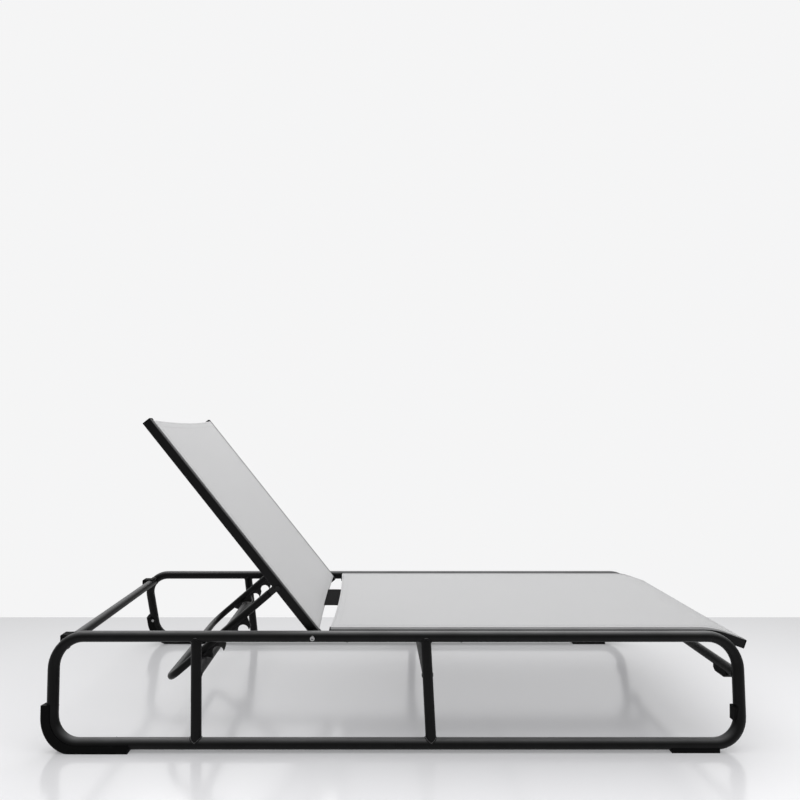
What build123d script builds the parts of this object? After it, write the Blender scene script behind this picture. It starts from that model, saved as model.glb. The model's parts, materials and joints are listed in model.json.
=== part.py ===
from build123d import *
from math import atan, cos, degrees, hypot, radians, sin, sqrt, tan
import os

# Stackable sling sun lounger.  Millimetres, +Z up, floor at Z = 0.
# The head end is at -X, the foot end at +X; left is +Y and right is -Y.
# Shapes are laid out from the middle of the side loops, and MODEL_SHIFT_X then
# puts the origin under the middle of the whole length, seat overhang included.
MODEL_SHIFT_X = -10.0

# --- Side loops: one bent round tube each, splayed outwards towards the floor ---
TUBE_R = 15.0
TUBE_WALL = 1.7
LOOP_TOP_Z = 290.5
LOOP_BOTTOM_Z = 18.0
LOOP_TOP_Y = 309.0
LOOP_BOTTOM_Y = 359.0
LOOP_TOP_HALF = 963.5
LOOP_BOTTOM_HALF = 940.7
LOOP_BEND_R = 78.0
LOOP_BUTT_GAP = 0.4
SLEEVE_LENGTH = 90.0
SLEEVE_CLEARANCE = 0.1

# --- Struts and cross tubes ---
STRUT_R = 14.5
CROSS_R = 14.0
SUPPORT_WALL = 1.6
HEAD_STRUT_X = (-563.0, -547.0)
MID_STRUT_X = (85.0, 95.0)
MID_CROSS_Z = 187.5
FOOT_CROSS_Z = 190.5

# --- Sling rails: one extrusion section, with a keder groove in its top ---
RAIL_WIDTH = 24.0
RAIL_HEIGHT = 26.0
RAIL_CORNER_R = 3.0
RAIL_WALL = 2.0
CHAMBER_TOP = 1.0
GROOVE_OFFSET = 4.0
GROOVE_HEIGHT = 7.6
GROOVE_R = 3.6
GROOVE_SLOT = 3.0
KEDER_R = 2.9
SLING_THICKNESS = 1.0
SLING_GAP = 0.05
SLING_LEG_FOOT = 10.7
CAP_THICKNESS = 4.0
SPREADER_R = 8.0
SPREADER_WALL = 1.5

# --- Seat ---
SEAT_RAIL_Y = 281.0
SEAT_RAIL_Z = 290.5
SEAT_HEAD_X = -185.0
SEAT_BEND_X = 914.4
SEAT_FOOT_X = 995.9
SEAT_DROOP = 19.5
SEAT_BEND_R = 200.0
SEAT_SPREADER_X = {"head": -160.0, "mid": 400.0, "foot": 930.0}
SEAT_SPREADER_DROP = 5.0
BRACKET_X = (-138.0, 190.0, 520.0, 850.0)
BRACKET_LENGTH = 34.0
BRACKET_THICKNESS = 5.0
BRACKET_OVERLAP = 11.0
SEAT_BOLT_R = 3.0
SEAT_BOLT_LENGTH = 10.0
SEAT_NUT_FLATS = 10.0
SEAT_NUT_HEIGHT = 6.0

# --- Backrest ---
PIVOT_X = -233.0
PIVOT_Z = 291.5
BACK_ANGLE = 51.5
BACK_RAIL_Y = 272.0
BACK_TAIL = 14.0
BACK_LENGTH = 777.0
BACK_SLING_START = -4.0
BACK_KEDER_START = 14.0
PIVOT_INNER_Y = 240.0
PIVOT_OUTER_Y = 340.0
BACK_SPREADERS = {"lower": 70.0, "upper": 645.0, "top": 758.0}

# --- Pivot hardware ---
BOLT_R = 4.0
HOLE_CLEARANCE = 0.05
BOLT_HEAD_R = 6.5
BOLT_HEAD_HEIGHT = 6.5
SOCKET_FLATS = 6.0
SOCKET_DEPTH = 3.5
BUSH_R = 6.0
BUSH_FLANGE_R = 10.0
NUT_FLATS = 13.0
NUT_HEIGHT = 6.5
BAIL_PIN_HEAD_R = 7.0
BAIL_PIN_HEAD = 3.0
BAIL_PIN_TAIL = 8.0
BAIL_NUT_HEIGHT = 5.5
RUNNING_GAP = 0.3

# --- Support bail: bent tube with two notched racks that drop on the catch bar ---
BAIL_ANGLE = 40.5
BAIL_PIN_S = 165.0
BAIL_PIN_DROP = 2.5
BAIL_Y = 246.0
BAIL_R = 11.0
BAIL_WALL = 1.5
BAIL_START = 42.0
BAIL_LENGTH = 440.0
BAIL_BEND_R = 52.0
TONGUE_THICKNESS = 8.0
TONGUE_HEIGHT = 20.0
TONGUE_PLUG = 24.0
CATCH_BAR_Z = 191.5
RACK_THICKNESS = 5.0
RACK_PITCH = 48.5
RACK_NOTCHES = 4
NOTCH_R = 16.0
NOTCH_GAP = 0.35
TOOTH_DEPTH = 10.0
RELEASE_ANGLE = 49.0
RELEASE_HALF_WIDTH = 15.4

# --- Feet, pads and strap ---
BOOT_TOP_Z = 118.0
BOOT_END_X = -726.0
BOOT_REACH = 26.5
BOOT_HALF_WIDTH = 17.0
BOOT_CORNER_R = 6.0
BOOT_SCREW_R = 5.0
BOOT_SCREW_HEAD = 3.2
BOOT_SCREW_INSET = 5.5
BOOT_SCREW_Z = 103.0
BOOT_SCREW_X = -775.0
GLIDE_X = (745.0, 875.0)
GLIDE_WIDTH = 30.0
GLIDE_TOP_Z = 13.0
STRAP_HALF_WIDTH = 82.0
STRAP_X = (-215.0, -190.0)
STRAP_Z = 301.1
STRAP_THICKNESS = 2.0

SIDES = {"left": 1, "right": -1}
SPLAY = degrees(atan((LOOP_BOTTOM_Y - LOOP_TOP_Y) / (LOOP_TOP_Z - LOOP_BOTTOM_Z)))
LOOP_SLANT = hypot(LOOP_BOTTOM_Y - LOOP_TOP_Y, LOOP_TOP_Z - LOOP_BOTTOM_Z)
END_LEAN = (LOOP_TOP_HALF - LOOP_BOTTOM_HALF) / LOOP_SLANT


def save(node, *solids):
    """Write one node, moved so that the origin is under the middle of the length."""
    moved = [Pos(MODEL_SHIFT_X, 0, 0) * solid for solid in solids]
    export_step(moved[0] if len(moved) == 1 else Compound(moved), f"parts/{node}.step")


def rod(start, end, radius, bore=0.0):
    """Round bar or tube between two points."""
    axis = Vector(*end) - Vector(*start)
    section = Circle(radius)
    if bore:
        section -= Circle(bore)
    return extrude(Plane(origin=start, z_dir=axis) * section, axis.length)


def swept(path, radius):
    """Solid of a round section along a path."""
    return sweep(Plane(origin=path @ 0, z_dir=path % 0) * Circle(radius), path=path)


def across(x, y_from, y_to, z, radius, bore=0.0):
    """Round bar or tube parallel to Y."""
    return rod((x, y_from, z), (x, y_to, z), radius, bore)


def block(x, y, z):
    """Box between two limits on each axis."""
    size = [abs(pair[1] - pair[0]) for pair in (x, y, z)]
    middle = [(pair[1] + pair[0]) / 2 for pair in (x, y, z)]
    return Pos(*middle) * Box(*size)


def hex_prism(x, y_from, y_to, z, flats):
    """Hexagonal bar parallel to Y."""
    plane = Plane(origin=(x, y_from, z), z_dir=(0, y_to - y_from, 0))
    return extrude(plane * RegularPolygon(flats / sqrt(3), 6), abs(y_to - y_from))


# ---------------------------------------------------------------- side loops
def loop_y(z):
    """Distance from the centre plane to the loop's axis at a height."""
    return LOOP_TOP_Y + (LOOP_TOP_Z - z) * tan(radians(SPLAY))


def loop_end_x(z):
    """Distance from mid length to the axis of a loop's end stretch at a height."""
    return LOOP_TOP_HALF - END_LEAN * (LOOP_TOP_Z - z) / cos(radians(SPLAY))


def loop_plane(side):
    """Plane of a side loop: x along the lounger, y up the splayed side."""
    normal = (0, -cos(radians(SPLAY)), -side * sin(radians(SPLAY)))
    return Plane(origin=(0, side * LOOP_TOP_Y, LOOP_TOP_Z), x_dir=(1, 0, 0), z_dir=normal)


def loop_path(side):
    half_gap = LOOP_BUTT_GAP / 2
    points = [
        (half_gap, -LOOP_SLANT),
        (LOOP_BOTTOM_HALF, -LOOP_SLANT),
        (LOOP_TOP_HALF, 0),
        (-LOOP_TOP_HALF, 0),
        (-LOOP_BOTTOM_HALF, -LOOP_SLANT),
        (-half_gap, -LOOP_SLANT),
    ]
    return loop_plane(side) * FilletPolyline(*points, radius=LOOP_BEND_R)


def pivot_hole(side, radius):
    return across(PIVOT_X, side * PIVOT_INNER_Y, side * PIVOT_OUTER_Y, PIVOT_Z, radius)


loop_solid = {side: swept(loop_path(side), TUBE_R) for side in SIDES.values()}
loop_bore = {side: swept(loop_path(side), TUBE_R - TUBE_WALL) for side in SIDES.values()}


def side_loop(side):
    return loop_solid[side] - loop_bore[side] - pivot_hole(side, BOLT_R + HOLE_CLEARANCE)


def joint_sleeve(side):
    """Short inner tube across the butt joint of a loop's bottom stretch."""
    outer = TUBE_R - TUBE_WALL - SLEEVE_CLEARANCE
    y = side * LOOP_BOTTOM_Y
    ends = [(x, y, LOOP_BOTTOM_Z) for x in (-SLEEVE_LENGTH / 2, SLEEVE_LENGTH / 2)]
    return rod(*ends, outer, outer - TUBE_WALL)


# ------------------------------------------------------- struts, cross tubes
def strut_ends(side, x_pair):
    return (
        (x_pair[0], side * LOOP_TOP_Y, LOOP_TOP_Z),
        (x_pair[1], side * LOOP_BOTTOM_Y, LOOP_BOTTOM_Z),
    )


def strut(side, x_pair):
    ends = strut_ends(side, x_pair)
    return rod(*ends, STRUT_R, STRUT_R - SUPPORT_WALL) - loop_solid[side]


def strut_x(x_pair, z):
    share = (LOOP_TOP_Z - z) / (LOOP_TOP_Z - LOOP_BOTTOM_Z)
    return x_pair[0] + share * (x_pair[1] - x_pair[0])


def cross_tube(x, z, trims):
    tube = across(x, -loop_y(z), loop_y(z), z, CROSS_R, CROSS_R - SUPPORT_WALL)
    for trim in trims:
        tube -= trim
    return tube


bend_axis_x = LOOP_TOP_HALF - LOOP_BEND_R * tan(radians(45) + atan(END_LEAN) / 2)
HEAD_CROSS_X = -(bend_axis_x + LOOP_BEND_R * sin(radians(45)))
HEAD_CROSS_Z = LOOP_TOP_Z - LOOP_BEND_R * (1 - cos(radians(45))) * cos(radians(SPLAY))
FOOT_CROSS_X = loop_end_x(FOOT_CROSS_Z)
CATCH_BAR_X = strut_x(HEAD_STRUT_X, CATCH_BAR_Z)
MID_CROSS_X = strut_x(MID_STRUT_X, MID_CROSS_Z)


# --------------------------------------------------------------- sling rails
def rail_section(side):
    """Closed lower chamber, round keder groove above it, open at the top."""
    groove_y = -side * GROOVE_OFFSET
    chamber_bottom = RAIL_WALL - RAIL_HEIGHT / 2
    chamber_height = CHAMBER_TOP - chamber_bottom
    slot_height = RAIL_HEIGHT / 2 - GROOVE_HEIGHT + 1
    section = RectangleRounded(RAIL_WIDTH, RAIL_HEIGHT, RAIL_CORNER_R)
    section -= Pos(0, chamber_bottom + chamber_height / 2) * Rectangle(
        RAIL_WIDTH - 2 * RAIL_WALL, chamber_height
    )
    section -= Pos(groove_y, GROOVE_HEIGHT) * Circle(GROOVE_R)
    section -= Pos(groove_y, GROOVE_HEIGHT + slot_height / 2) * Rectangle(GROOVE_SLOT, slot_height)
    return section


def sling_section(half_width):
    """Flat web with a short leg at each edge, which drops into the keder groove."""
    bottom = RAIL_HEIGHT / 2 + SLING_GAP
    leg_height = bottom - SLING_LEG_FOOT + SLING_THICKNESS / 2
    width = 2 * half_width + SLING_THICKNESS
    section = Pos(0, bottom + SLING_THICKNESS / 2) * Rectangle(width, SLING_THICKNESS)
    for side in SIDES.values():
        leg = Rectangle(SLING_THICKNESS, leg_height)
        section += Pos(side * half_width, SLING_LEG_FOOT + leg_height / 2) * leg
    return section


def keder_section(side, half_width):
    return Pos(side * half_width, GROOVE_HEIGHT) * Circle(KEDER_R)


def cap_section():
    return RectangleRounded(RAIL_WIDTH, RAIL_HEIGHT, RAIL_CORNER_R)


def seat_path(from_x):
    foot_z = SEAT_RAIL_Z - (SEAT_FOOT_X - SEAT_BEND_X) * tan(radians(SEAT_DROOP))
    points = [(from_x, SEAT_RAIL_Z), (SEAT_BEND_X, SEAT_RAIL_Z), (SEAT_FOOT_X, foot_z)]
    return Plane.XZ * FilletPolyline(*points, radius=SEAT_BEND_R)


def along_seat(section, y=0.0, from_x=SEAT_HEAD_X):
    """Sweep a section, drawn across the seat, down the length of the seat."""
    path = seat_path(from_x)
    start = Plane(origin=path @ 0, x_dir=(0, 1, 0), z_dir=(1, 0, 0))
    return sweep(start * Pos(y, 0) * section, path=path)


def seat_cap(side, at_foot):
    path = seat_path(SEAT_HEAD_X)
    spot = path @ 1 if at_foot else path @ 0
    outwards = path % 1 if at_foot else (path % 0) * -1
    plane = Plane(origin=spot, x_dir=(0, 1, 0), z_dir=outwards)
    return extrude(plane * Pos(side * SEAT_RAIL_Y, 0) * cap_section(), CAP_THICKNESS)


def seat_spreader(x, drop):
    half = SEAT_RAIL_Y - RAIL_WIDTH / 2
    return across(x, -half, half, SEAT_RAIL_Z - drop, SPREADER_R, SPREADER_R - SPREADER_WALL)


def seat_bracket(side, x):
    """Small plate under the sling rail, welded to the loop's top stretch."""
    top = SEAT_RAIL_Z - RAIL_HEIGHT / 2
    inner = SEAT_RAIL_Y - RAIL_WIDTH / 2
    plate = block(
        (x - BRACKET_LENGTH / 2, x + BRACKET_LENGTH / 2),
        (side * inner, side * (LOOP_TOP_Y - TUBE_R + BRACKET_OVERLAP)),
        (top - BRACKET_THICKNESS, top),
    )
    y = side * SEAT_RAIL_Y
    hole = rod((x, y, top - 2 * BRACKET_THICKNESS), (x, y, top), SEAT_BOLT_R + HOLE_CLEARANCE)
    return plate - loop_solid[side] - hole


def seat_bolt(side, x):
    """Bolt end and lock nut below the bracket, holding the sling rail down."""
    top = SEAT_RAIL_Z - RAIL_HEIGHT / 2
    plate_bottom = top - BRACKET_THICKNESS
    y = side * SEAT_RAIL_Y
    shank = rod((x, y, plate_bottom - SEAT_BOLT_LENGTH), (x, y, top), SEAT_BOLT_R)
    nut_plane = Plane(origin=(x, y, plate_bottom - SEAT_NUT_HEIGHT))
    return shank + extrude(nut_plane * RegularPolygon(SEAT_NUT_FLATS / sqrt(3), 6), SEAT_NUT_HEIGHT)


# ------------------------------------------------------------------ backrest
# The backrest is drawn lying flat with the pivot at the origin and its top at -X.
to_back = Pos(PIVOT_X, 0, PIVOT_Z) * Rot(0, BACK_ANGLE, 0)


def along_back(section, start, end, y=0.0):
    plane = Plane(origin=(-start, 0, 0), x_dir=(0, -1, 0), z_dir=(-1, 0, 0))
    return extrude(plane * Pos(-y, 0) * section, end - start)


def back_rail(side):
    rail = along_back(rail_section(-side), -BACK_TAIL, BACK_LENGTH - CAP_THICKNESS, side * BACK_RAIL_Y)
    rail_in = BACK_RAIL_Y - RAIL_WIDTH
    rail_out = BACK_RAIL_Y + RAIL_WIDTH
    rail -= across(0, side * rail_in, side * rail_out, 0, BUSH_R)
    rail -= across(-BAIL_PIN_S, side * rail_in, side * rail_out, -BAIL_PIN_DROP, BOLT_R)
    return rail


def back_cap(side, start):
    return along_back(cap_section(), start, start + CAP_THICKNESS, side * BACK_RAIL_Y)


def back_spreader(s):
    half = BACK_RAIL_Y - RAIL_WIDTH / 2
    return across(-s, -half, half, -SEAT_SPREADER_DROP, SPREADER_R, SPREADER_R - SPREADER_WALL)


def pivot_bush(side):
    """Sleeve in the backrest rail with a thick flange against the loop."""
    rail_in = BACK_RAIL_Y - RAIL_WIDTH / 2
    rail_out = BACK_RAIL_Y + RAIL_WIDTH / 2
    flange_end = LOOP_TOP_Y - TUBE_R - RUNNING_GAP
    bush = across(0, side * rail_in, side * rail_out, 0, BUSH_R)
    bush += across(0, side * rail_out, side * flange_end, 0, BUSH_FLANGE_R)
    return bush - across(0, side * PIVOT_INNER_Y, side * PIVOT_OUTER_Y, 0, BOLT_R + HOLE_CLEARANCE)


def pivot_bolt(side):
    """Socket-head bolt through the loop and the backrest rail."""
    seat_y = LOOP_TOP_Y + TUBE_R
    end_y = BACK_RAIL_Y - RAIL_WIDTH / 2 - NUT_HEIGHT - 3
    shank = across(PIVOT_X, side * end_y, side * (seat_y + 1), PIVOT_Z, BOLT_R)
    head = across(PIVOT_X, side * seat_y, side * (seat_y + BOLT_HEAD_HEIGHT), PIVOT_Z, BOLT_HEAD_R)
    outer = seat_y + BOLT_HEAD_HEIGHT
    socket = hex_prism(PIVOT_X, side * (outer - SOCKET_DEPTH), side * (outer + 1), PIVOT_Z, SOCKET_FLATS)
    return shank + head - socket


def pivot_nut(side):
    outer = BACK_RAIL_Y - RAIL_WIDTH / 2 - RUNNING_GAP
    nut = hex_prism(PIVOT_X, side * (outer - NUT_HEIGHT), side * outer, PIVOT_Z, NUT_FLATS)
    return nut - pivot_hole(side, BOLT_R) - across(PIVOT_X, side * 230, side * 270, PIVOT_Z, BOLT_R)


def bail_pin(side):
    """Shouldered pin from the backrest rail to the bail's tongue."""
    rail_in = BACK_RAIL_Y - RAIL_WIDTH / 2
    rail_out = BACK_RAIL_Y + RAIL_WIDTH / 2
    tongue_in = BAIL_Y - TONGUE_THICKNESS / 2
    tongue_out = BAIL_Y + TONGUE_THICKNESS / 2
    spot = (-BAIL_PIN_S, -BAIL_PIN_DROP)
    pin = across(spot[0], side * (tongue_in - BAIL_PIN_TAIL), side * rail_out, spot[1], BOLT_R)
    head_end = rail_out + BAIL_PIN_HEAD
    pin += across(spot[0], side * rail_out, side * head_end, spot[1], BAIL_PIN_HEAD_R)
    pin += across(spot[0], side * (tongue_out + RUNNING_GAP), side * rail_in, spot[1], BAIL_PIN_HEAD_R)
    return pin


def bail_nut(side):
    tongue_in = BAIL_Y - TONGUE_THICKNESS / 2 - RUNNING_GAP
    x, z = -BAIL_PIN_S, -BAIL_PIN_DROP
    nut = hex_prism(x, side * (tongue_in - BAIL_NUT_HEIGHT), side * tongue_in, z, NUT_FLATS)
    return nut - across(x, side * (tongue_in - NUT_FLATS), side * BAIL_Y, z, BOLT_R)


# ---------------------------------------------------------------------- bail
# The bail is drawn flat with its pin at the origin and its closed end at -X.
back_rad = radians(BACK_ANGLE)
BAIL_PIN_X = PIVOT_X - BAIL_PIN_S * cos(back_rad) - BAIL_PIN_DROP * sin(back_rad)
BAIL_PIN_Z = PIVOT_Z + BAIL_PIN_S * sin(back_rad) - BAIL_PIN_DROP * cos(back_rad)
to_bail = Pos(BAIL_PIN_X, 0, BAIL_PIN_Z) * Rot(0, -BAIL_ANGLE, 0)


def bail_path():
    points = [
        (-BAIL_START, BAIL_Y),
        (-BAIL_LENGTH, BAIL_Y),
        (-BAIL_LENGTH, -BAIL_Y),
        (-BAIL_START, -BAIL_Y),
    ]
    return FilletPolyline(*points, radius=BAIL_BEND_R)


bail_solid = swept(bail_path(), BAIL_R)


def bail_tube():
    return bail_solid - swept(bail_path(), BAIL_R - BAIL_WALL)


def bail_tongue(side):
    """Flat eye at the end of a bail arm, with a plug inside the tube."""
    y = side * BAIL_Y
    plug_end = -BAIL_START - TONGUE_PLUG
    plug = rod((plug_end, y, 0), (-BAIL_START, y, 0), BAIL_R - BAIL_WALL - HOLE_CLEARANCE)
    half = TONGUE_THICKNESS / 2
    plate = block((-BAIL_START, 0), (y - half, y + half), (-TONGUE_HEIGHT / 2, TONGUE_HEIGHT / 2))
    eye = across(0, y - half, y + half, 0, TONGUE_HEIGHT / 2)
    return plug + plate + eye - across(0, y - BAIL_R, y + BAIL_R, 0, BOLT_R + HOLE_CLEARANCE)


def catch_bar_in_bail():
    """Place of the catch bar's axis along and below the arm, at rest."""
    angle = radians(BAIL_ANGLE)
    dx = CATCH_BAR_X - BAIL_PIN_X
    dz = CATCH_BAR_Z - BAIL_PIN_Z
    return -dx * cos(angle) - dz * sin(angle), dx * sin(angle) - dz * cos(angle)


def rack_outline(along, below):
    """Plate with hooked teeth, each one leaning towards the closed end."""
    tip = below + TOOTH_DEPTH
    top = BAIL_R - 3
    last = along - (RACK_NOTCHES - 1) * RACK_PITCH
    points = [(along + 40, top), (along + 22, tip), (along + 13, tip + 1.5)]
    for notch in range(RACK_NOTCHES):
        centre = along - notch * RACK_PITCH
        points += [(centre, below), (centre - NOTCH_R + 2, tip)]
        points += [(centre - NOTCH_R - 9, below + 4), (centre - NOTCH_R - 16, below - 2)]
    points = points[:-1] + [(last - NOTCH_R - 18, top)]
    return Polygon(*[(-s, -p) for s, p in points], align=None)


def rack(side):
    along, bar_below = catch_bar_in_bail()
    below = bar_below + NOTCH_R - CROSS_R - NOTCH_GAP
    outline = rack_outline(along, below)
    for notch in range(RACK_NOTCHES):
        centre = along - notch * RACK_PITCH
        outline -= Pos(-centre, -below) * Circle(NOTCH_R)
        throat = Rectangle(2 * NOTCH_R - 4, 24, align=(Align.CENTER, Align.MAX))
        outline -= Pos(-centre, -below) * throat
    # The catch bar leaves the first notch along a line that leans to the hinge.
    release = Rectangle(60, 2 * RELEASE_HALF_WIDTH, align=(Align.MIN, Align.CENTER))
    outline -= Pos(-along, -bar_below) * Rot(0, 0, -RELEASE_ANGLE) * release
    plane = Plane(origin=(0, side * BAIL_Y + RACK_THICKNESS / 2, 0), x_dir=(1, 0, 0), z_dir=(0, -1, 0))
    return extrude(plane * outline, RACK_THICKNESS) - bail_solid


# -------------------------------------------------------------- feet and pads
def above_floor():
    reach = LOOP_TOP_HALF + LOOP_BOTTOM_Y
    return block((-reach, reach), (-reach, reach), (0, reach))


def head_boot(side):
    """Moulded foot that wraps the outside of the loop's lower head bend."""
    slant = (LOOP_TOP_Z - BOOT_TOP_Z) / cos(radians(SPLAY))
    points = [
        (-loop_end_x(BOOT_TOP_Z), -slant),
        (-LOOP_BOTTOM_HALF, -LOOP_SLANT),
        (BOOT_END_X, -LOOP_SLANT),
    ]
    path = FilletPolyline(*points, radius=LOOP_BEND_R)
    start = Plane(origin=path @ 0, x_dir=(0, 0, 1), z_dir=path % 0)
    section = Pos(0, BOOT_REACH / 2) * Rectangle(2 * BOOT_HALF_WIDTH, BOOT_REACH)
    outer_corners = section.vertices().sort_by(Axis.Y)[-2:]
    section = fillet(outer_corners, BOOT_CORNER_R)
    boot = loop_plane(side) * sweep(start * section, path=path)
    return (boot - loop_solid[side]) & above_floor()


def boot_screw(side, x, z):
    """Pan-head screw on the inner face of a boot."""
    inner = side * (loop_y(z) - BOOT_HALF_WIDTH - BOOT_SCREW_INSET)
    return across(x, inner, inner + side * BOOT_SCREW_HEAD, z, BOOT_SCREW_R)


def foot_glide(side):
    half = GLIDE_WIDTH / 2
    y = side * LOOP_BOTTOM_Y
    return block(GLIDE_X, (y - half, y + half), (0, GLIDE_TOP_Z)) - loop_solid[side]


def back_pad(side):
    """Saddle on the head cross tube, where a backrest rail lands when flat."""
    y = side * BACK_RAIL_Y
    pad = block(
        (HEAD_CROSS_X - 28, HEAD_CROSS_X + 10),
        (y - 13, y + 13),
        (HEAD_CROSS_Z - 6, HEAD_CROSS_Z + CROSS_R + 2.5),
    )
    pad = fillet(pad.edges().filter_by(Axis.Y), 3)
    return pad - across(HEAD_CROSS_X, -320, 320, HEAD_CROSS_Z, CROSS_R)


def stacking_pad(side):
    """Block under the foot cross tube that lands on the lounger below."""
    pad = block(
        (FOOT_CROSS_X - 13, FOOT_CROSS_X + 13),
        (side * 238, side * 294),
        (FOOT_CROSS_Z - CROSS_R - 12, FOOT_CROSS_Z),
    )
    pad = chamfer(pad.edges().filter_by(Axis.X).group_by(Axis.Z)[0], 8)
    return pad - across(FOOT_CROSS_X, -320, 320, FOOT_CROSS_Z, CROSS_R)


def inner_bumper(side):
    """Thin strip on the inner side of a loop's foot stretch."""
    z_low, z_high = 75.0, 114.0
    x_low = loop_end_x(z_low) - TUBE_R - 4
    x_high = loop_end_x(z_low) - TUBE_R + 5
    y = side * loop_y((z_low + z_high) / 2)
    return block((x_low, x_high), (y - 10, y + 10), (z_low, z_high)) - loop_solid[side]


def gap_strap():
    half = STRAP_HALF_WIDTH
    return block(STRAP_X, (-half, half), (STRAP_Z - STRAP_THICKNESS, STRAP_Z))


# --------------------------------------------------------------------- export
os.makedirs("parts", exist_ok=True)
strut_solids = {
    (name, side): rod(*strut_ends(side, x_pair), STRUT_R)
    for name, x_pair in (("head", HEAD_STRUT_X), ("mid", MID_STRUT_X))
    for side in SIDES.values()
}
SEAT_GROOVE_Y = SEAT_RAIL_Y - GROOVE_OFFSET
BACK_GROOVE_Y = BACK_RAIL_Y - GROOVE_OFFSET
BACK_END = BACK_LENGTH - CAP_THICKNESS

for name, side in SIDES.items():
    save(f"side_loop_{name}", side_loop(side))
    save(f"head_strut_{name}", strut(side, HEAD_STRUT_X))
    save(f"mid_strut_{name}", strut(side, MID_STRUT_X))
    save(f"seat_rail_{name}", along_seat(rail_section(side), side * SEAT_RAIL_Y))
    save(f"head_boot_{name}", head_boot(side))
    save(f"foot_glide_{name}", foot_glide(side))
    save(f"pivot_bolt_{name}", pivot_bolt(side))
    save(f"pivot_bush_{name}", to_back * pivot_bush(side))
    save(f"backrest_rail_{name}", to_back * back_rail(side))
    save(f"bail_pin_{name}", to_back * bail_pin(side))
    save(f"bail_tongue_{name}", to_bail * bail_tongue(side))
    save(f"rack_{name}", to_bail * rack(side))

save("loop_joint_sleeves", *[joint_sleeve(side) for side in SIDES.values()])
save("head_cross_tube", cross_tube(HEAD_CROSS_X, HEAD_CROSS_Z, loop_solid.values()))
save("foot_cross_tube", cross_tube(FOOT_CROSS_X, FOOT_CROSS_Z, loop_solid.values()))
head_struts = [strut_solids["head", side] for side in SIDES.values()]
mid_struts = [strut_solids["mid", side] for side in SIDES.values()]
save("catch_bar", cross_tube(CATCH_BAR_X, CATCH_BAR_Z, head_struts))
save("mid_cross_tube", cross_tube(MID_CROSS_X, MID_CROSS_Z, mid_struts))

for name, x in SEAT_SPREADER_X.items():
    sunk = max(0.0, (x - SEAT_BEND_X) * tan(radians(SEAT_DROOP)))
    save(f"seat_spreader_{name}", seat_spreader(x, SEAT_SPREADER_DROP + sunk))
save("seat_sling", along_seat(sling_section(SEAT_GROOVE_Y)))
seat_keders = [along_seat(keder_section(side, SEAT_GROOVE_Y)) for side in SIDES.values()]
save("seat_keder_rods", *seat_keders)
save("seat_end_caps", *[seat_cap(side, foot) for side in SIDES.values() for foot in (False, True)])
save("seat_brackets", *[seat_bracket(side, x) for side in SIDES.values() for x in BRACKET_X])
save("seat_bolts", *[seat_bolt(side, x) for side in SIDES.values() for x in BRACKET_X])

for name, s in BACK_SPREADERS.items():
    save(f"backrest_spreader_{name}", to_back * back_spreader(s))
back_sling = along_back(sling_section(BACK_GROOVE_Y), BACK_SLING_START, BACK_END)
save("backrest_sling", to_back * back_sling)
back_keders = [
    to_back * along_back(keder_section(side, BACK_GROOVE_Y), BACK_KEDER_START, BACK_END)
    for side in SIDES.values()
]
save("backrest_keder_rods", *back_keders)
cap_starts = (-BACK_TAIL - CAP_THICKNESS, BACK_END)
back_caps = [to_back * back_cap(side, start) for side in SIDES.values() for start in cap_starts]
save("backrest_end_caps", *back_caps)
save("pivot_nuts", *[pivot_nut(side) for side in SIDES.values()])
save("bail_pin_nuts", *[to_back * bail_nut(side) for side in SIDES.values()])
save("bail_tube", to_bail * bail_tube())

boot_screws = []
for side in SIDES.values():
    boot_screws.append(boot_screw(side, -loop_end_x(BOOT_SCREW_Z), BOOT_SCREW_Z))
    boot_screws.append(boot_screw(side, BOOT_SCREW_X, LOOP_BOTTOM_Z))
save("boot_screws", *boot_screws)
save("backrest_pads", *[back_pad(side) for side in SIDES.values()])
save("stacking_pads", *[stacking_pad(side) for side in SIDES.values()])
save("inner_bumpers", *[inner_bumper(side) for side in SIDES.values()])
save("gap_strap", gap_strap())
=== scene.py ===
import json
import math

import bmesh
import bpy
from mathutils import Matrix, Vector, noise


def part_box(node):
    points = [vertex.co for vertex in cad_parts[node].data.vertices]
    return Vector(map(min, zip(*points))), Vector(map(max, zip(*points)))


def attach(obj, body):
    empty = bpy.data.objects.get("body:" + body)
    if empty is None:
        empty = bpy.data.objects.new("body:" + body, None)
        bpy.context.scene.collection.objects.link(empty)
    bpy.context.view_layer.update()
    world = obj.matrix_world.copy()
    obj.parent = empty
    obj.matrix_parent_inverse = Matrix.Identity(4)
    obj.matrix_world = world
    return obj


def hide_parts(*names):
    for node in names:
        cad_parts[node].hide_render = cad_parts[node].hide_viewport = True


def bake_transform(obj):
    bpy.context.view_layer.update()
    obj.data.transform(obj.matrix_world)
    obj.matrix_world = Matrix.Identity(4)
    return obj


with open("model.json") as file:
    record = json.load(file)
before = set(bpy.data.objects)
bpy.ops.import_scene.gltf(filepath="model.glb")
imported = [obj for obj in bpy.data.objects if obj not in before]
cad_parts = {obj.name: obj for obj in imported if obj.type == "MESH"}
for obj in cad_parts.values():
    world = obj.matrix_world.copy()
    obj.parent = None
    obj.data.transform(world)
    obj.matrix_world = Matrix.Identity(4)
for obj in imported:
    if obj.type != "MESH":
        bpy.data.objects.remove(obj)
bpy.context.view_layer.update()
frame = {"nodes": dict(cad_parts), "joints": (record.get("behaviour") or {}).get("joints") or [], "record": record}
nodes = frame["nodes"]
joints = {joint["name"]: joint for joint in frame["joints"]}

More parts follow.
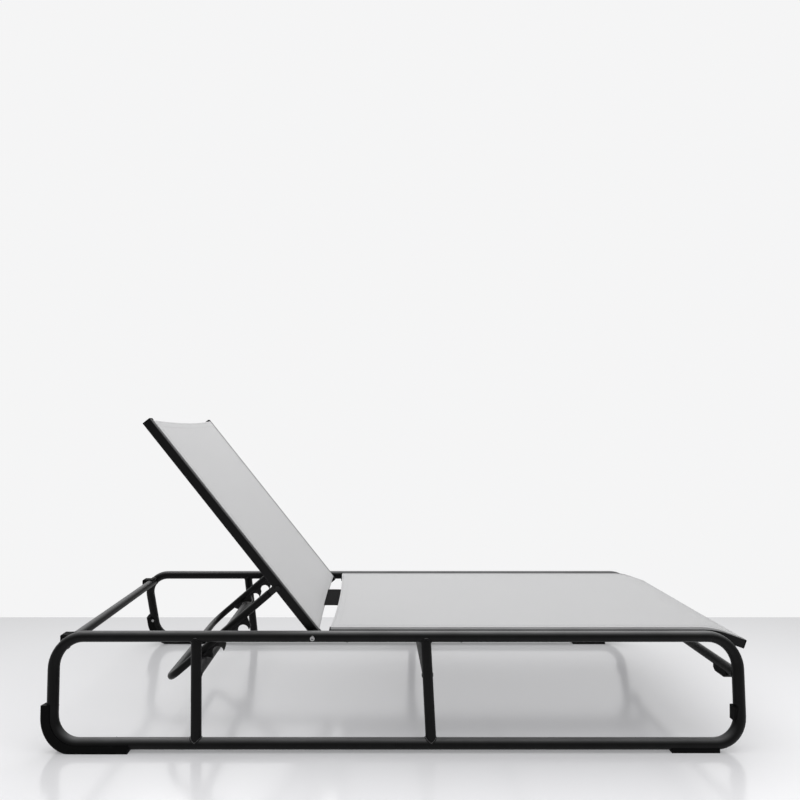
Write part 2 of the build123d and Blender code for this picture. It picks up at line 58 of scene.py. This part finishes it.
# Sizes are in metres. +X is towards the foot end, +Y to the left, the floor is z = 0.
TUBE_R = 0.015
STRUT_R = 0.0145
CROSS_R = 0.014
BAIL_R = 0.011
RAIL_WIDTH = 0.024
GROOVE_OFFSET = 0.004
CAD_SHEET = 0.001
CLOTH = 0.0009
SHEET_REST = 0.01305
GROOVE_FLOOR = 0.0107
BACK_ANGLE = math.radians(51.5)
SEAT_DROOP = math.radians(19.5)
SEAT_BEND_R = 0.200
BAIL_ANGLE = math.radians(40.5)
LOOP_END_LEAN = 0.082

STRUT_WELD_R = 0.0025
CROSS_WELD_R = 0.0024
RACK_WELD_R = 0.0016
RACK_WELD_LENGTH = 0.020
RACK_WELD_RUNS = (-0.066, -0.024, 0.018, 0.060)
STITCH_PITCH = 0.0042
STITCH_HALF = 0.0014
THREAD_R = 0.00032
STRAP_THICKNESS = 0.0016
STRAP_RIB = 0.00035

PIVOT = Vector(joints["backrest_hinge"]["pos_m"])
BAIL_PIN = Vector(joints["bail_hinge"]["pos_m"])


# ------------------------------------------------------------------ materials
class Shader:
    """A principled material with short helpers for its procedural nodes."""

    def __init__(self, name):
        self.material = bpy.data.materials.new(name)
        self.material.use_nodes = True
        self.tree = self.material.node_tree
        self.surface = self.tree.nodes["Principled BSDF"]

    def add(self, kind, **settings):
        made = self.tree.nodes.new(kind)
        for key, value in settings.items():
            setattr(made, key, value)
        return made

    def link(self, start, end):
        self.tree.links.new(start, end)

    def set(self, **values):
        for key, value in values.items():
            self.surface.inputs[key.replace("_", " ")].default_value = value

    def object_position(self):
        return self.add("ShaderNodeTexCoord").outputs["Object"]

    def noise(self, scale, detail=3.0, roughness=0.5, where=None):
        made = self.add("ShaderNodeTexNoise")
        made.inputs["Scale"].default_value = scale
        made.inputs["Detail"].default_value = detail
        made.inputs["Roughness"].default_value = roughness
        self.link(where or self.object_position(), made.inputs["Vector"])
        return made.outputs["Fac"]

    def spread(self, source, low, high, from_low=0.3, from_high=0.7):
        made = self.add("ShaderNodeMapRange")
        made.inputs["From Min"].default_value = from_low
        made.inputs["From Max"].default_value = from_high
        made.inputs["To Min"].default_value = low
        made.inputs["To Max"].default_value = high
        self.link(source, made.inputs["Value"])
        return made.outputs["Result"]

    def math(self, operation, a, b=None):
        made = self.add("ShaderNodeMath", operation=operation)
        for socket, value in zip(made.inputs, (a, b)):
            if isinstance(value, (int, float)):
                socket.default_value = value
            elif value is not None:
                self.link(value, socket)
        return made.outputs["Value"]

    def blend(self, factor, first, second):
        made = self.add("ShaderNodeMix", data_type="RGBA")
        colour_inputs = [socket for socket in made.inputs if socket.type == "RGBA"]
        colour_output = next(socket for socket in made.outputs if socket.type == "RGBA")
        self.link(factor, made.inputs["Factor"])
        for socket, value in zip(colour_inputs, (first, second)):
            if isinstance(value, tuple):
                socket.default_value = (*value, 1)
            else:
                self.link(value, socket)
        return colour_output

    def bump(self, height, distance, strength=1.0, below=None):
        made = self.add("ShaderNodeBump")
        made.inputs["Distance"].default_value = distance
        made.inputs["Strength"].default_value = strength
        self.link(height, made.inputs["Height"])
        if below is not None:
            self.link(below, made.inputs["Normal"])
        self.link(made.outputs["Normal"], self.surface.inputs["Normal"])
        return made.outputs["Normal"]


def grey(value):
    return (value, value, value * 1.02)


def powder_coat():
    """Matt black coat with a fine orange-peel grain and a painted highlight on its top side."""
    coat = Shader("powder_coat")
    coat.set(IOR=1.5)
    patches = coat.noise(26.0, 4.0)
    base = coat.blend(coat.spread(patches, 0.0, 1.0), grey(0.0036), grey(0.0060))
    facing = coat.add("ShaderNodeTexCoord").outputs["Normal"]
    split = coat.add("ShaderNodeSeparateXYZ")
    coat.link(facing, split.inputs["Vector"])
    # Painted highlight: upward faces are blended towards grey(0.22) and given more specular, standing in for light
    # from above; slow noise varies its strength.
    upwards = coat.spread(split.outputs["Z"], 0.0, 1.0, 0.35, 1.0)
    top_light_mask = coat.math("POWER", upwards, 2.0)
    painted_top_highlight = coat.math("MULTIPLY", top_light_mask, coat.spread(coat.noise(9.0, 5.0), 0.45, 0.65))
    coat.link(coat.blend(painted_top_highlight, base, grey(0.22)), coat.surface.inputs["Base Color"])
    coat.link(coat.spread(top_light_mask, 0.13, 0.55, 0.0, 1.0), coat.surface.inputs["Specular IOR Level"])
    coat.link(coat.spread(coat.noise(140.0, 3.0), 0.36, 0.48), coat.surface.inputs["Roughness"])
    broad = coat.bump(coat.noise(420.0, 2.0), 0.00012, 0.30)
    coat.bump(coat.noise(1500.0, 2.0), 0.00005, 0.40, below=broad)
    return coat.material


def dark_steel():
    """Black coated steel, a little glossier than the tube, with rubbed patches."""
    steel = Shader("dark_steel")
    steel.set(IOR=1.5, Specular_IOR_Level=0.25)
    rubbed = steel.spread(steel.noise(60.0, 6.0, 0.65), 0.0, 1.0, 0.52, 0.74)
    steel.link(steel.blend(rubbed, grey(0.004), grey(0.020)), steel.surface.inputs["Base Color"])
    steel.link(steel.spread(steel.noise(220.0), 0.34, 0.52), steel.surface.inputs["Roughness"])
    steel.bump(steel.noise(900.0), 0.00006, 0.4)
    return steel.material


def stainless():
    """Bright turned stainless steel."""
    steel = Shader("stainless")
    steel.set(Metallic=1.0)
    streaks = steel.noise(700.0, 4.0)
    tone = steel.blend(streaks, (0.26, 0.26, 0.265), (0.42, 0.42, 0.42))
    steel.link(tone, steel.surface.inputs["Base Color"])
    steel.link(steel.spread(streaks, 0.16, 0.34), steel.surface.inputs["Roughness"])
    steel.bump(streaks, 0.00003, 0.3)
    return steel.material


def black_plastic():
    """Moulded nylon with a spark-eroded grain and scuffs."""
    nylon = Shader("black_plastic")
    nylon.set(IOR=1.46, Specular_IOR_Level=0.08)
    scuff = nylon.spread(nylon.noise(75.0, 8.0, 0.7), 0.0, 1.0, 0.56, 0.80)
    nylon.link(nylon.blend(scuff, grey(0.0018), grey(0.0080)), nylon.surface.inputs["Base Color"])
    nylon.link(nylon.spread(nylon.noise(300.0), 0.46, 0.66), nylon.surface.inputs["Roughness"])
    nylon.bump(nylon.noise(1100.0, 3.0), 0.00010, 0.45)
    return nylon.material


def threads(cloth, uv, pitch):
    """Plain weave from the sheet's flat coordinates in metres: (height, open gaps)."""
    split = cloth.add("ShaderNodeSeparateXYZ")
    cloth.link(uv, split.inputs["Vector"])
    turn = math.pi / pitch
    waves = [cloth.math("SINE", cloth.math("MULTIPLY", split.outputs[i], turn)) for i in "XY"]
    warp, weft = [cloth.math("ABSOLUTE", wave) for wave in waves]
    over = cloth.spread(cloth.math("MULTIPLY", *waves), 0.0, 1.0, -0.15, 0.15)
    under = cloth.math("SUBTRACT", 1.0, over)
    high = cloth.math("ADD", cloth.math("MULTIPLY", warp, over), cloth.math("MULTIPLY", weft, under))
    bare = [cloth.math("SUBTRACT", 1.0, yarn) for yarn in (warp, weft)]
    gaps = cloth.math("MULTIPLY", *bare)
    return high, gaps


def woven(name, light, dark, pitch, depth, roughness, gloss=0.5):
    """Coated yarn in a plain weave, with slow changes of tone along the yarns and painted shade in the open gaps
    between them.
    """
    cloth = Shader(name)
    cloth.set(IOR=1.46, Specular_IOR_Level=gloss)
    uv = cloth.add("ShaderNodeUVMap", uv_map="flat").outputs["UV"]
    height, gaps = threads(cloth, uv, pitch)
    streak_map = cloth.add("ShaderNodeMapping")
    streak_map.inputs["Scale"].default_value = (4.0, 260.0, 1.0)
    cloth.link(uv, streak_map.inputs["Vector"])
    streaks = cloth.noise(1.0, 3.0, where=streak_map.outputs["Vector"])
    tone = cloth.blend(cloth.spread(streaks, 0.0, 1.0), tuple(0.955 * c for c in light), light)
    # Painted shade: the open gaps between the yarns are blended towards the darker colour.
    shaded = cloth.blend(cloth.spread(gaps, 0.0, 0.75, 0.10, 0.75), tone, dark)
    cloth.link(shaded, cloth.surface.inputs["Base Color"])
    dullness = cloth.spread(height, roughness + 0.10, roughness, 0.0, 1.0)
    cloth.link(dullness, cloth.surface.inputs["Roughness"])
    cloth.bump(height, depth, 0.55)
    return cloth.material


def sewing_thread():
    """Polyester thread, twisted and a little darker than the sling."""
    thread = Shader("sewing_thread")
    strands = thread.noise(2400.0, 2.0)
    thread.link(thread.blend(strands, grey(0.34), grey(0.46)), thread.surface.inputs["Base Color"])
    thread.set(Roughness=0.6)
    thread.bump(strands, 0.00004, 0.5)
    return thread.material


MATERIALS = {
    "powder_coat": powder_coat(),
    "dark_steel": dark_steel(),
    "stainless": stainless(),
    "black_plastic": black_plastic(),
    "sling_mesh": woven(
        "sling_mesh", (0.545, 0.545, 0.550), (0.25, 0.25, 0.26), 0.0013, 0.0004, 0.42
    ),
    "webbing": woven(
        "webbing", (0.0030, 0.0030, 0.0032), (0.001, 0.001, 0.001), 0.0022, 0.0006, 0.70, 0.1
    ),
}
MATERIALS["keder_cord"] = MATERIALS["black_plastic"]
THREAD = sewing_thread()


def dress(obj, slot_name):
    obj.data.materials.clear()
    obj.data.materials.append(MATERIALS[slot_name])


def dress_cad_nodes():
    slots = {part["node"]: part["material_slot"] for part in frame["record"]["subparts"]}
    for node, obj in nodes.items():
        obj.data.materials.clear()
        obj.data.materials.append(MATERIALS[slots[node]])


# -------------------------------------------------------------- mesh helpers
def mesh_object(name, mesh_maker, slot_name, body, smooth=True):
    """Object from a bmesh filled by mesh_maker, riding on a body."""
    mesh = bpy.data.meshes.new(name)
    built = bmesh.new()
    mesh_maker(built)
    bmesh.ops.recalc_face_normals(built, faces=built.faces)
    built.to_mesh(mesh)
    built.free()
    for polygon in mesh.polygons:
        polygon.use_smooth = smooth
    obj = bpy.data.objects.new(name, mesh)
    bpy.context.scene.collection.objects.link(obj)
    dress(obj, slot_name)
    if body:
        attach(obj, body)
    return obj


def ring_of(built, centre, first, second, radius, steps, squash=1.0):
    """Ring of vertices round a centre, in the plane of two unit vectors."""
    ring = []
    for step in range(steps):
        angle = 2 * math.pi * step / steps
        offset = first * (radius * math.cos(angle)) + second * (radius * squash * math.sin(angle))
        ring.append(built.verts.new(centre + offset))
    return ring


def bridge(built, one, other):
    count = len(one)
    for i in range(count):
        built.faces.new((one[i], one[(i + 1) % count], other[(i + 1) % count], other[i]))


def closed_bead(built, points, radius, ripple, seed):
    """Closed rope of weld metal along a loop of (point, outward) pairs."""
    count = len(points)
    rings = []
    for i, (point, outward) in enumerate(points):
        along = (points[(i + 1) % count][0] - points[i - 1][0]).normalized()
        side = along.cross(outward).normalized()
        scallop = 1.0 + ripple * math.sin(i * math.pi / 2.5)
        scallop += 0.12 * noise.noise(Vector((i * 0.31, seed * 7.7, 0.0)))
        rings.append(ring_of(built, point, side, outward, radius * scallop, 8))
    for i in range(count):
        bridge(built, rings[i], rings[(i + 1) % count])


def capsule(built, start, end, up, radius):
    """Short rounded thread lying between two points."""
    along = (end - start).normalized()
    side = along.cross(up).normalized()
    length = (end - start).length
    stations = ((0.0, 0.45), (0.14, 0.85), (0.5, 1.0), (0.86, 0.85), (1.0, 0.45))
    rings = []
    for share, width in stations:
        lift = up * (radius * 0.5 * math.sin(math.pi * share))
        centre = start + along * (length * share) + lift
        rings.append(ring_of(built, centre, side, up, radius * width, 6))
    for one, other in zip(rings, rings[1:]):
        bridge(built, one, other)
    built.faces.new(rings[0])
    built.faces.new(list(reversed(rings[-1])))


def sheet_object(name, rows, thickness, slot_name):
    """Sheet of real thickness from rows of (point, flat coordinates)."""
    mesh = bpy.data.meshes.new(name)
    built = bmesh.new()
    layer = built.loops.layers.uv.new("flat")
    flat = {}
    grid = []
    for row in rows:
        line = []
        for point, place in row:
            vertex = built.verts.new(point)
            flat[vertex] = place
            line.append(vertex)
        grid.append(line)
    for one, other in zip(grid, grid[1:]):
        for i in range(len(one) - 1):
            face = built.faces.new((one[i], other[i], other[i + 1], one[i + 1]))
            for loop in face.loops:
                loop[layer].uv = flat[loop.vert]
    bmesh.ops.recalc_face_normals(built, faces=built.faces)
    built.to_mesh(mesh)
    built.free()
    for polygon in mesh.polygons:
        polygon.use_smooth = True
    sheet = bpy.data.objects.new(name, mesh)
    bpy.context.scene.collection.objects.link(sheet)
    solidify = sheet.modifiers.new("thickness", "SOLIDIFY")
    solidify.thickness = thickness
    solidify.offset = 0.0
    shown = sheet.evaluated_get(bpy.context.evaluated_depsgraph_get())
    sheet.data = bpy.data.meshes.new_from_object(shown)
    sheet.modifiers.clear()
    dress(sheet, slot_name)
    return sheet


# --------------------------------------------------------------------- welds
def cylinder_seam(start, along, own_r, other_point, other_along, other_r, steps=72):
    """Curve where a tube's end meets the side of another tube, as (point, outward)."""
    first = along.orthogonal().normalized()
    second = along.cross(first).normalized()
    seam = []
    for step in range(steps):
        angle = 2 * math.pi * step / steps
        outward = first * math.cos(angle) + second * math.sin(angle)
        skin = start + outward * own_r
        gap = skin - other_point
        flat_gap = gap - other_along * gap.dot(other_along)
        flat_run = along - other_along * along.dot(other_along)
        a = flat_run.length_squared
        b = 2 * flat_run.dot(flat_gap)
        c = flat_gap.length_squared - other_r**2
        reach = (-b + math.sqrt(max(b * b - 4 * a * c, 0.0))) / (2 * a)
        seam.append((skin + along * reach, outward))
    return seam


def weld(name, seam, radius, seed):
    def fill(built):
        closed_bead(built, seam, radius, 0.10, seed)
    return mesh_object(name, fill, "powder_coat", "frame")


LOOP_TOP_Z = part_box("side_loop_left")[1].z - TUBE_R
LOOP_BOTTOM_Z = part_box("side_loop_left")[0].z + TUBE_R
LOOP_TOP_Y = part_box("side_loop_left")[0].y + TUBE_R
LOOP_BOTTOM_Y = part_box("side_loop_left")[1].y - TUBE_R
SPLAY = (LOOP_BOTTOM_Y - LOOP_TOP_Y) / (LOOP_TOP_Z - LOOP_BOTTOM_Z)


def loop_y(z):
    return LOOP_TOP_Y + (LOOP_TOP_Z - z) * SPLAY


def strut_axis(node):
    """Top and bottom of a strut's axis, on the axes of its loop's two long stretches."""
    low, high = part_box(node)
    side = 1 if low.y > 0 else -1
    top = Vector((low.x + STRUT_R, side * LOOP_TOP_Y, LOOP_TOP_Z))
    return top, Vector((high.x - STRUT_R, side * LOOP_BOTTOM_Y, LOOP_BOTTOM_Z))


def make_welds():
    lengthwise = Vector((1, 0, 0))
    for node in ("head_strut_left", "head_strut_right", "mid_strut_left", "mid_strut_right"):
        top, bottom = strut_axis(node)
        down = (bottom - top).normalized()
        seed = len(node) + top.x
        for end, point, along, shift in (("top", top, down, 0), ("foot", bottom, -down, 3)):
            seam = cylinder_seam(point, along, STRUT_R, point, lengthwise, TUBE_R)
            weld(f"weld_{node}_{end}", seam, STRUT_WELD_R, seed + shift)
    for node in ("head_cross_tube", "foot_cross_tube", "catch_bar", "mid_cross_tube"):
        low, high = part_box(node)
        x, z = (low.x + high.x) / 2, (low.z + high.z) / 2
        for name, side in (("left", 1), ("right", -1)):
            start = Vector((x, side * loop_y(z), z))
            inwards = Vector((0, -side, 0))
            if node == "head_cross_tube":
                other_along = Vector((1, -side * SPLAY, 1)).normalized()
                other_r = TUBE_R
            elif node == "foot_cross_tube":
                other_along = Vector((LOOP_END_LEAN, -side * SPLAY, 1)).normalized()
                other_r = TUBE_R
            else:
                strut = "head_strut_" if node == "catch_bar" else "mid_strut_"
                top, bottom = strut_axis(strut + name)
                other_along = (top - bottom).normalized()
                other_r = STRUT_R
            seam = cylinder_seam(start, inwards, CROSS_R, start, other_along, other_r)
            weld(f"weld_{node}_{name}", seam, CROSS_WELD_R, x + side)


def straight_bead(built, start, end, outward, radius, seed):
    """Short weld with rounded ends along a straight joint."""
    along = (end - start).normalized()
    side = along.cross(outward).normalized()
    length = (end - start).length
    count = max(8, int(length / 0.0007))
    rings = []
    for i in range(count + 1):
        share = i / count
        taper = min(1.0, 0.25 + 6.0 * min(share, 1 - share))
        scallop = taper * (1.0 + 0.10 * math.sin(i * math.pi / 2.5))
        scallop += 0.08 * noise.noise(Vector((i * 0.31, seed * 7.7, 0.0)))
        rings.append(ring_of(built, start + along * (length * share), side, outward, radius * scallop, 8))
    for one, other in zip(rings, rings[1:]):
        bridge(built, one, other)
    built.faces.new(rings[0])
    built.faces.new(list(reversed(rings[-1])))


def make_rack_welds():
    """Four short welds on each face of each rack, where it meets the bail's arm."""
    along = Vector((-math.cos(BAIL_ANGLE), 0, -math.sin(BAIL_ANGLE)))
    below = Vector((math.sin(BAIL_ANGLE), 0, -math.cos(BAIL_ANGLE)))
    for name in ("left", "right"):
        low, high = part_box(f"rack_{name}")
        middle = Vector(((low.x + high.x) / 2, (low.y + high.y) / 2, (low.z + high.z) / 2))
        centre_run = (middle - BAIL_PIN).dot(along)

        def fill(built):
            for k, offset in enumerate(RACK_WELD_RUNS):
                for face in (-1, 1):
                    foot = BAIL_PIN + along * (centre_run + offset) + below * (BAIL_R - 0.0003)
                    start = Vector((foot.x, middle.y + face * 0.0028, foot.z))
                    outward = (below * 0.4 + Vector((0, face, 0))).normalized()
                    end = start + along * RACK_WELD_LENGTH
                    straight_bead(built, start, end, outward, RACK_WELD_R, k + face)
        mesh_object(f"rack_welds_{name}", fill, "powder_coat", "bail")


# -------------------------------------------------------------------- slings
class SeatLine:
    """Line down the middle of the seat rails: level, a bend, then the droop."""

    def __init__(self):
        low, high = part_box("seat_sling")
        self.level = high.z - SHEET_REST - CAD_SHEET
        top_offset = SHEET_REST + CAD_SHEET
        self.start_x = low.x
        self.end_x = high.x - top_offset * math.sin(SEAT_DROOP)
        end_z = low.z - GROOVE_FLOOR * math.cos(SEAT_DROOP)
        corner_x = self.end_x - (self.level - end_z) / math.tan(SEAT_DROOP)
        self.bend_x = corner_x - SEAT_BEND_R * math.tan(SEAT_DROOP / 2)
        self.straight = self.bend_x - self.start_x
        self.arc = SEAT_BEND_R * SEAT_DROOP
        bend_end_x = self.bend_x + SEAT_BEND_R * math.sin(SEAT_DROOP)
        self.length = self.straight + self.arc + (self.end_x - bend_end_x) / math.cos(SEAT_DROOP)
        self.body = "frame"

    def at(self, run):
        """(point, along, up) at a run from the head end."""
        if run <= self.straight:
            return Vector((self.start_x + run, 0, self.level)), Vector((1, 0, 0)), Vector((0, 0, 1))
        turn = min((run - self.straight) / SEAT_BEND_R, SEAT_DROOP)
        along = Vector((math.cos(turn), 0, -math.sin(turn)))
        up = Vector((math.sin(turn), 0, math.cos(turn)))
        point = Vector((self.bend_x, 0, self.level - SEAT_BEND_R)) + up * SEAT_BEND_R
        return point + along * max(0.0, run - self.straight - self.arc), along, up


class BackLine:
    """Line up the middle of the backrest rails."""

    def __init__(self):
        self.along = Vector((-math.cos(BACK_ANGLE), 0, math.sin(BACK_ANGLE)))
        self.up = Vector((math.sin(BACK_ANGLE), 0, math.cos(BACK_ANGLE)))
        corners = [Vector((p.co.x, 0, p.co.z)) - PIVOT for p in nodes["backrest_sling"].data.vertices]
        runs = [corner.dot(self.along) for corner in corners]
        self.first, self.length = min(runs), max(runs) - min(runs)
        self.body = "backrest"

    def at(self, run):
        return PIVOT + self.along * (self.first + run), self.along, self.up


class Sling:
    """Sheet stretched between two rail grooves, with a folded hem at each end."""

    HEM = 0.026
    FOLD_R = 0.0010
    SIDE_DROP_STEPS = ((0.0, 0.0), (0.0006, 0.0001), (0.0011, 0.0005), (0.0013, 0.0012), (0.0013, 0.0024))

    def __init__(self, line, half_width, start_cut, end_cut, end_inset, sag):
        self.line = line
        self.half_width = half_width
        self.start_cut = start_cut
        self.end_cut = end_cut
        self.end_inset = end_inset
        self.sag = sag
        self.lip = half_width - RAIL_WIDTH / 2 + GROOVE_OFFSET + 0.0005

    def cross(self):
        """Stations across the sheet, as (y, drop into the groove)."""
        edge = self.half_width - 0.0013
        flat = [edge * k / 30 for k in range(-30, 31)]
        left = [(edge + y, drop) for y, drop in self.SIDE_DROP_STEPS[1:]]
        right = [(-y, drop) for y, drop in reversed(left)]
        return right + [(y, 0.0) for y in flat] + left

    def along(self):
        """Stations down the sheet, as (share of the length, extra run, offset below)."""
        fold = [(0.0, -self.FOLD_R * math.sin(a), -self.FOLD_R * (1 - math.cos(a)))
                for a in (math.pi, 0.75 * math.pi, 0.5 * math.pi, 0.25 * math.pi)]
        hem = [(0.0, self.HEM * k / 3, -2 * self.FOLD_R) for k in (3, 2, 1)]
        middle = [(k / 110, 0.0, 0.0) for k in range(111)]
        far_fold = [(1.0, -run, drop) for _, run, drop in reversed(fold)]
        far_hem = [(1.0, -run, drop) for _, run, drop in reversed(hem)]
        return hem + fold + middle + far_fold + far_hem

    def spot(self, share, extra, below, y, drop):
        """Point of the sheet's middle surface, its up direction and its flat run."""
        bow = max(0.0, 1.0 - (y / self.half_width) ** 2)
        run_low = self.start_cut * bow
        run_high = self.line.length - self.end_inset - self.end_cut * bow
        run = run_low + share * (run_high - run_low) + extra
        point, along, up = self.line.at(run)
        inside = max(0.0, 1.0 - (y / self.lip) ** 2)
        ends = math.sin(math.pi * min(max(run / self.line.length, 0.0), 1.0))
        ripple = 0.0004 * noise.noise(Vector((run * 5.0, y * 7.0, self.half_width)))
        height = SHEET_REST + CLOTH / 2 - drop - self.sag * inside * ends + ripple * inside + below
        return point + up * height + Vector((0, y, 0)), along, up, run

    def build(self, name, node):
        rows = []
        for share, extra, below in self.along():
            row = []
            for y, drop in self.cross():
                point, _, _, run = self.spot(share, extra, below, y, drop)
                hem_shift = 0.05 if below < -self.FOLD_R else 0.0
                row.append((point, (run + hem_shift, y + math.copysign(drop, y))))
            rows.append(row)
        sheet = sheet_object(name, rows, CLOTH, "sling_mesh")
        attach(sheet, self.line.body)
        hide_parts(node)
        return sheet

    def stitch_rows(self, name):
        """Lock stitches through both hems, and one row beside each groove."""
        def fill(built):
            hem_rows = ((0.0, 0.0045), (0.0, 0.0205), (1.0, -0.0045), (1.0, -0.0205))
            for edge_share, inset in hem_rows:
                count = int(2 * self.lip / STITCH_PITCH)
                for k in range(count):
                    y = -self.lip + 0.004 + k * STITCH_PITCH
                    for below, flip in ((0.0, 1), (-2 * self.FOLD_R, -1)):
                        self.stitch(built, edge_share, inset, below, y, flip, Vector((0, 1, 0)))
            runs = int(self.line.length / STITCH_PITCH) - 14
            for k in range(runs):
                share = (7 + k) * STITCH_PITCH / self.line.length
                for side in (-1, 1):
                    self.stitch(built, share, 0.0, 0.0, side * (self.lip - 0.0075), 1, None)
        rows = mesh_object(name, fill, "sling_mesh", self.line.body)
        rows.data.materials[0] = THREAD
        return rows

    def stitch(self, built, share, extra, below, y, flip, across):
        point, along, up, _ = self.spot(share, extra, below, y, 0.0)
        skin = point + up * (flip * (CLOTH / 2 + 0.00005))
        reach = (across or along) * STITCH_HALF
        capsule(built, skin - reach, skin + reach, up * flip, THREAD_R)


def make_slings():
    seat_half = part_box("seat_sling")[1].y - CAD_SHEET / 2
    back_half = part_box("backrest_sling")[1].y - CAD_SHEET / 2
    slings = {
        "seat": Sling(SeatLine(), seat_half, 0.009, 0.003, 0.001, 0.0045),
        "backrest": Sling(BackLine(), back_half, 0.003, 0.010, 0.005, 0.0050),
    }
    for name, sling in slings.items():
        sheet = sling.build(f"{name}_sling_cloth", f"{name}_sling")
        stitches = sling.stitch_rows(f"{name}_stitches")


# ------------------------------------------------------------------ gap strap
def make_gap_strap():
    """Webbing that joins the seat's head edge to the backrest's lower edge."""
    low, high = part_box("gap_strap")
    half = high.y
    back = BackLine()
    seat_end = Vector((high.x + 0.022, 0, high.z + 0.0002))
    back_end = PIVOT + back.along * 0.012 + back.up * (SHEET_REST - 0.0120)
    middle = (seat_end + back_end) / 2 + Vector((0.004, 0, 0.001))
    stations = 24
    path = []
    for k in range(stations + 1):
        t = k / stations
        point = seat_end * (1 - t) ** 2 + middle * (2 * t * (1 - t)) + back_end * t**2
        path.append(point)

    rows = []
    run = 0.0
    for k, point in enumerate(path):
        ahead = path[min(k + 1, stations)] - path[max(k - 1, 0)]
        up = Vector((0, 1, 0)).cross(ahead).normalized()
        run += (point - path[max(k - 1, 0)]).length
        row = []
        for i in range(41):
            y = half * (i / 20 - 1)
            rib = STRAP_RIB * math.cos(i * math.pi)
            row.append((point + Vector((0, y, 0)) + up * rib, (run, y)))
        rows.append(row)
    strap = sheet_object("gap_strap_webbing", rows, STRAP_THICKNESS, "webbing")
    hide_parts("gap_strap")
    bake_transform(strap)


# ----------------------------------------------------------- stage and camera
def make_camera():
    camera = bpy.data.cameras.new("camera")
    camera.lens = 24.0
    camera.sensor_width = 36.0
    camera.shift_x = 0.0325
    camera.shift_y = 0.03125
    obj = bpy.data.objects.new("camera", camera)
    obj.location = (-0.071, -1.816, 0.8875)
    obj.rotation_euler = (math.radians(90), 0, 0)
    bpy.context.scene.collection.objects.link(obj)
    bpy.context.scene.camera = obj


FLOOR_BACK_Y = 0.646


def make_floor():
    """Pale floor that ends in a straight far edge, with painted light: lighter towards the front and glowing
    faintly to lift its shadows.
    """
    mesh = bpy.data.meshes.new("floor")
    front, side = -9.0, 9.0
    corners = [(-side, front, 0), (side, front, 0), (side, FLOOR_BACK_Y, 0), (-side, FLOOR_BACK_Y, 0)]
    mesh.from_pydata(corners, [], [(0, 1, 2, 3)])
    floor = bpy.data.objects.new("floor", mesh)
    bpy.context.scene.collection.objects.link(floor)
    shade = Shader("floor")
    split = shade.add("ShaderNodeSeparateXYZ")
    shade.link(shade.object_position(), split.inputs["Vector"])
    depth = shade.spread(split.outputs["Y"], 0.0, 1.0, -0.70, FLOOR_BACK_Y)
    # Painted light: the colour runs from grey(0.80) at the front to grey(0.42) at the far edge, standing in for
    # the fall of light.
    shade.link(shade.blend(depth, grey(0.80), grey(0.42)), shade.surface.inputs["Base Color"])
    # Painted light: the floor glows, more at the front, to lift the shade under the lounger.
    shade.link(shade.blend(depth, grey(0.24), grey(0.16)), shade.surface.inputs["Emission Color"])
    shade.set(Roughness=0.16, IOR=2.2, Emission_Strength=1.0)
    mesh.materials.append(shade.material)


def make_area_light(name, place, target, size, power):
    light = bpy.data.lights.new(name, "AREA")
    light.shape = "RECTANGLE"
    light.size, light.size_y = size
    light.energy = power
    obj = bpy.data.objects.new(name, light)
    obj.location = place
    obj.rotation_euler = (Vector(target) - Vector(place)).to_track_quat("-Z", "Y").to_euler()
    bpy.context.scene.collection.objects.link(obj)


def make_light():
    world = bpy.data.worlds.new("studio")
    world.use_nodes = True
    tree = world.node_tree
    backdrop = tree.nodes["Background"]
    backdrop.inputs["Color"].default_value = (0.913, 0.913, 0.916, 1)
    room = tree.nodes.new("ShaderNodeBackground")
    split = tree.nodes.new("ShaderNodeSeparateXYZ")
    tree.links.new(tree.nodes.new("ShaderNodeTexCoord").outputs["Generated"], split.inputs["Vector"])
    towards_back = tree.nodes.new("ShaderNodeMapRange")
    towards_back.inputs["From Min"].default_value = -0.2
    towards_back.inputs["From Max"].default_value = 0.8
    towards_back.inputs["To Min"].default_value = 0.55
    towards_back.inputs["To Max"].default_value = 1.00
    tree.links.new(split.outputs["Y"], towards_back.inputs["Value"])
    tree.links.new(towards_back.outputs["Result"], room.inputs["Strength"])
    rays = tree.nodes.new("ShaderNodeLightPath")
    choice = tree.nodes.new("ShaderNodeMixShader")
    tree.links.new(rays.outputs["Is Camera Ray"], choice.inputs[0])
    tree.links.new(room.outputs["Background"], choice.inputs[1])
    tree.links.new(backdrop.outputs["Background"], choice.inputs[2])
    tree.links.new(choice.outputs["Shader"], tree.nodes["World Output"].inputs["Surface"])
    bpy.context.scene.world = world
    make_area_light("overhead", (0.1, 0.5, 2.3), (0, 0, 0), (4.4, 2.6), 56.0)


dress_cad_nodes()
make_welds()
make_rack_welds()
make_slings()
make_gap_strap()
make_camera()
make_floor()
make_light()
bpy.context.scene.view_settings.view_transform = "Standard"
